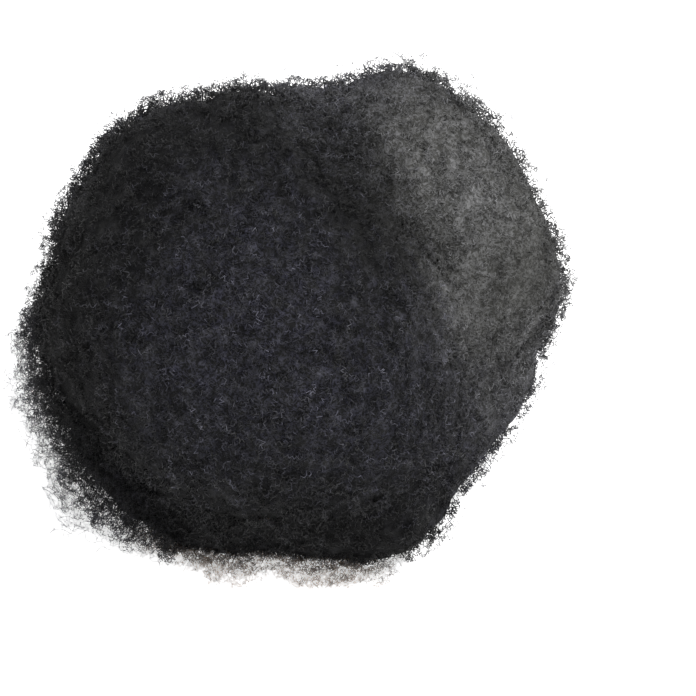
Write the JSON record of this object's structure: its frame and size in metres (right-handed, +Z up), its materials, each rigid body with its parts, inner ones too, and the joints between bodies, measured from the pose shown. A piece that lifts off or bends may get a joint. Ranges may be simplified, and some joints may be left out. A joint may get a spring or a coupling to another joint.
{
  "type": "bulk braiding hair",
  "caption": "Round bundle of loose, tightly coiled black bulk hair, rolled up on itself and lying flat, ready to be parted and braided or twisted in.",
  "frame": {"origin": "on the table, under the middle of the bundle's box", "axes": "+Z up, -Y towards the camera, +X towards the picture's right, where the outer turn is"},
  "size_m": [0.2188, 0.195, 0.1246],
  "materials": {
    "layer_hair": "matt black kinky fibre, tightly coiled",
    "mound_hair": "matt blue-black kinky fibre, tightly coiled",
    "turn_hair": "dusty soft-black kinky fibre, tightly coiled, with a faint sheen",
    "fringe_hair": "loose dark kinky fibre ends, see-through between the tufts"
  },
  "bodies": {
    "root": {"under_layer": "layer_hair", "centre_mound": "mound_hair", "outer_turn": "turn_hair", "edge_fringe": "fringe_hair"}
  },
  "joints": []
}
